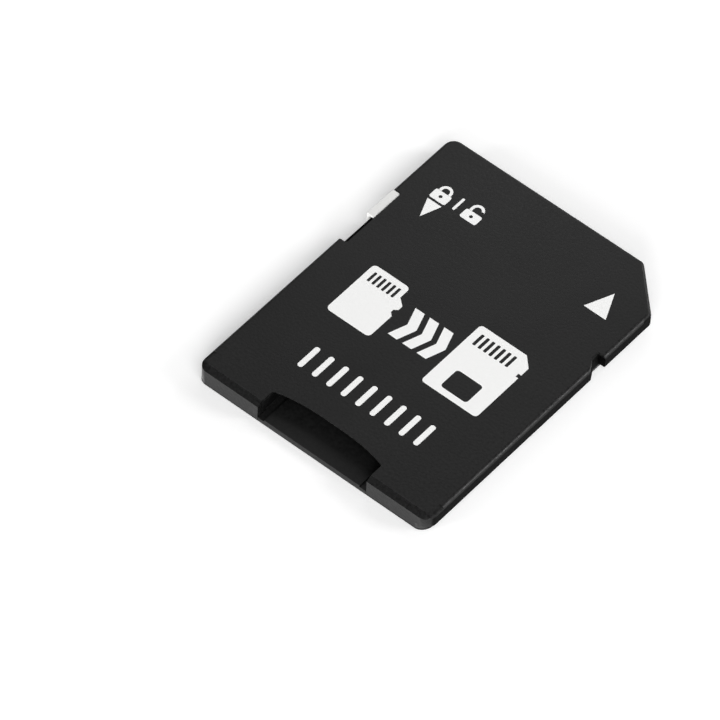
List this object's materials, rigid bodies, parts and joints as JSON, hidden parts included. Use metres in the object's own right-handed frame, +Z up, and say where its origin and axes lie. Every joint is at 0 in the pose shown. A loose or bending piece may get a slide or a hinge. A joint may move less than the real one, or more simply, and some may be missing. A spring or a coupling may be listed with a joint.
{
  "type": "memory card adapter",
  "caption": "Flat memory card adapter: a full-size card body with a slot for a small card at one end, contact windows at the other and a sliding write lock.",
  "frame": {"origin": "centre of the contact face, the face the adapter lies on", "axes": "+X to the side with the cut corner and the square notch, +Y from the slot end to the contact end, +Z up through the label face"},
  "size_m": [0.024, 0.032, 0.0021],
  "materials": {
    "cover_plastic": "fine matt moulded grain",
    "slider_plastic": "satin moulded",
    "carrier_plastic": "matt moulded",
    "contact_metal": "gold plated, smooth"
  },
  "bodies": {
    "adapter": {"top_cover": "cover_plastic", "bottom_cover": "cover_plastic", "contact_carrier": "carrier_plastic", "contact_pad_9": "contact_metal", "contact_pad_1": "contact_metal", "contact_pad_2": "contact_metal", "contact_pads_3_6": "contact_metal", "contact_pad_4": "contact_metal", "contact_pad_5": "contact_metal", "contact_pad_7": "contact_metal", "contact_pad_8": "contact_metal"},
    "slider": {"lock_slider": "slider_plastic"}
  },
  "joints": [
    {"name": "lock_slide", "type": "slide", "parent": "adapter", "child": "slider", "axis": [0, -1, 0], "range_m": [0, 0.00345]}
  ]
}
